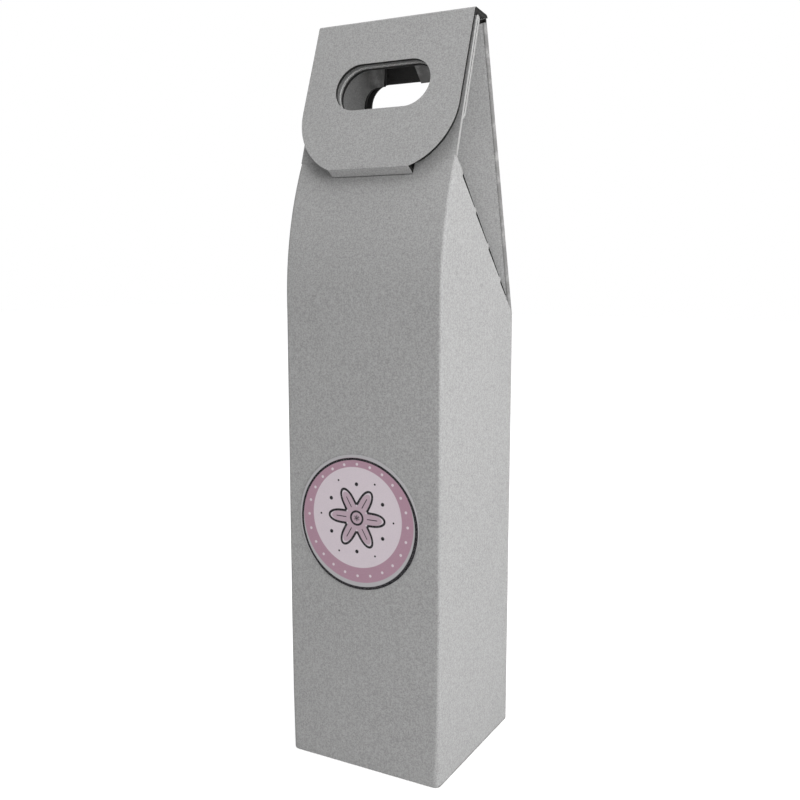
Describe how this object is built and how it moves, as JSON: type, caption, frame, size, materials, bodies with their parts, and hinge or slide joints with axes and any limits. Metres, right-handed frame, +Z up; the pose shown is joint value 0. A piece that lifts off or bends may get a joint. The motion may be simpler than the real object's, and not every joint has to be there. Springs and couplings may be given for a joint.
{
  "type": "bottle gift box",
  "caption": "Tall folded cardboard carton for one wine bottle, with an arched shoulder, a stadium hand hole through its layered top, a tuck-in flap and a round label.",
  "frame": {"origin": "on the ground, under the middle of the box", "axes": "+Z up; the front with the round label faces -Y; +X is to the right of someone facing the front"},
  "size_m": [0.085, 0.0855, 0.3682],
  "materials": {
    "front_wall": "matt uncoated micro-flute board",
    "right_side_wall": "matt uncoated micro-flute board",
    "left_side_wall": "matt uncoated micro-flute board",
    "back_wall": "matt uncoated micro-flute board",
    "glue_flap": "matt uncoated micro-flute board",
    "back_top_panel": "matt uncoated micro-flute board",
    "spine_strip": "matt uncoated micro-flute board",
    "closure_flap": "matt uncoated micro-flute board",
    "tuck_tab": "matt uncoated micro-flute board",
    "front_top_panel": "matt uncoated micro-flute board",
    "right_upper_gusset": "matt uncoated micro-flute board",
    "left_upper_gusset": "matt uncoated micro-flute board",
    "right_lower_gusset": "matt uncoated micro-flute board",
    "left_lower_gusset": "matt uncoated micro-flute board",
    "bottom_flap": "matt uncoated micro-flute board",
    "bottom_tongue": "matt uncoated micro-flute board",
    "right_dust_flap": "matt uncoated micro-flute board",
    "left_dust_flap": "matt uncoated micro-flute board",
    "round_label": "satin printed paper"
  },
  "bodies": {
    "carton": {"front_wall": "front_wall", "right_side_wall": "right_side_wall", "left_side_wall": "left_side_wall", "back_wall": "back_wall", "glue_flap": "glue_flap", "round_label": "round_label"},
    "back_top": {"back_top_panel": "back_top_panel"},
    "spine": {"spine_strip": "spine_strip"},
    "flap": {"closure_flap": "closure_flap"},
    "tab": {"tuck_tab": "tuck_tab"},
    "front_top": {"front_top_panel": "front_top_panel"},
    "right_upper_gusset": {"right_upper_gusset": "right_upper_gusset"},
    "left_upper_gusset": {"left_upper_gusset": "left_upper_gusset"},
    "right_lower_gusset": {"right_lower_gusset": "right_lower_gusset"},
    "left_lower_gusset": {"left_lower_gusset": "left_lower_gusset"},
    "bottom": {"bottom_flap": "bottom_flap"},
    "tongue": {"bottom_tongue": "bottom_tongue"},
    "right_dust_flap": {"right_dust_flap": "right_dust_flap"},
    "left_dust_flap": {"left_dust_flap": "left_dust_flap"}
  },
  "joints": [
    {"name": "back_top_crease", "type": "hinge", "parent": "carton", "child": "back_top", "pos_m": [0, 0.0425, 0.224], "axis": [-1, 0, 0], "range_deg": [0, 14.97]},
    {"name": "spine_crease", "type": "hinge", "parent": "back_top", "child": "spine", "pos_m": [0, 0.00464, 0.36563], "axis": [-1, 0, 0], "range_deg": [0, 90]},
    {"name": "flap_crease", "type": "hinge", "parent": "spine", "child": "flap", "pos_m": [0, -0.01003, 0.36691], "axis": [-1, 0, 0], "range_deg": [0, 180]},
    {"name": "tab_crease", "type": "hinge", "parent": "flap", "child": "tab", "pos_m": [0, -0.03583, 0.2954], "axis": [-1, 0, 0], "range_deg": [0, 36]},
    {"name": "front_top_crease", "type": "hinge", "parent": "carton", "child": "front_top", "pos_m": [0, -0.028, 0.3], "axis": [1, 0, 0], "range_deg": [0, 20.27]},
    {"name": "right_upper_gusset_fold", "type": "hinge", "parent": "back_top", "child": "right_upper_gusset", "pos_m": [0.0409, 0.04038, 0.22343], "axis": [0, -0.2582, 0.9661], "range_deg": [0, 73.02]},
    {"name": "left_upper_gusset_fold", "type": "hinge", "parent": "back_top", "child": "left_upper_gusset", "pos_m": [-0.0409, 0.04038, 0.22343], "axis": [0, 0.2582, -0.9661], "range_deg": [0, 73.02]},
    {"name": "right_lower_gusset_crease", "type": "hinge", "parent": "carton", "child": "right_lower_gusset", "pos_m": [0.0409, 0.0425, 0.224], "axis": [0, 0.6801, -0.7331], "range_deg": [0, 32.84]},
    {"name": "left_lower_gusset_crease", "type": "hinge", "parent": "carton", "child": "left_lower_gusset", "pos_m": [-0.0409, 0.0425, 0.224], "axis": [0, -0.6801, 0.7331], "range_deg": [0, 32.84]},
    {"name": "bottom_crease", "type": "hinge", "parent": "carton", "child": "bottom", "pos_m": [0, 0.0425, 0.002], "axis": [1, 0, 0], "range_deg": [0, 100]},
    {"name": "tongue_crease", "type": "hinge", "parent": "bottom", "child": "tongue", "pos_m": [0, -0.03989, 0.00235], "axis": [1, 0, 0], "range_deg": [0, 50]},
    {"name": "right_dust_crease", "type": "hinge", "parent": "carton", "child": "right_dust_flap", "pos_m": [0.0406, 0, 0.0019], "axis": [0, -1, 0], "range_deg": [0, 85]},
    {"name": "left_dust_crease", "type": "hinge", "parent": "carton", "child": "left_dust_flap", "pos_m": [-0.0406, 0, 0.0019], "axis": [0, 1, 0], "range_deg": [0, 85]}
  ],
  "couplings": [
    {"joint": "back_top_crease", "follows": "flap_crease", "ratio": 0.083144},
    {"joint": "spine_crease", "follows": "flap_crease", "ratio": 0.5},
    {"joint": "tab_crease", "follows": "flap_crease", "ratio": 0.2},
    {"joint": "front_top_crease", "follows": "flap_crease", "ratio": 0.11263},
    {"joint": "right_upper_gusset_fold", "follows": "flap_crease", "ratio": 0.40565},
    {"joint": "left_upper_gusset_fold", "follows": "flap_crease", "ratio": 0.40565},
    {"joint": "right_lower_gusset_crease", "follows": "flap_crease", "ratio": 0.18246},
    {"joint": "left_lower_gusset_crease", "follows": "flap_crease", "ratio": 0.18246},
    {"joint": "tongue_crease", "follows": "bottom_crease", "ratio": 0.5},
    {"joint": "right_dust_crease", "follows": "bottom_crease", "ratio": 0.85},
    {"joint": "left_dust_crease", "follows": "bottom_crease", "ratio": 0.85}
  ]
}
